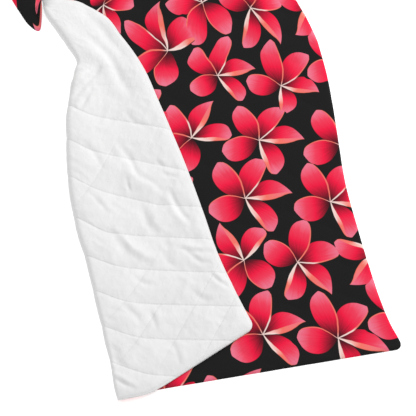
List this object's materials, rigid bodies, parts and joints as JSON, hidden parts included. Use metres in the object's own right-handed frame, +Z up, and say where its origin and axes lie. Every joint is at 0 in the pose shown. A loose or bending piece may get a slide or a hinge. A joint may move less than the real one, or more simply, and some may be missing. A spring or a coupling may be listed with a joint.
{
  "type": "printed quilt",
  "caption": "Quilted throw with a floral printed face and a plain white back, laid on the floor with its left side turned over onto the print.",
  "frame": {"origin": "middle of the laid quilt's box, on the floor", "axes": "+Z up from the floor, +Y from the bottom hem towards the top of the quilt, +X away from the turned side"},
  "size_m": [1.0954, 1.7479, 0.04],
  "materials": {
    "printed_cloth": "brushed polyester, printed with large crimson flowers on black",
    "white_cloth": "brushed polyester, plain white, quilted in diamonds"
  },
  "bodies": {
    "root": {"printed_front": "printed_cloth", "white_back": "white_cloth"}
  },
  "joints": []
}
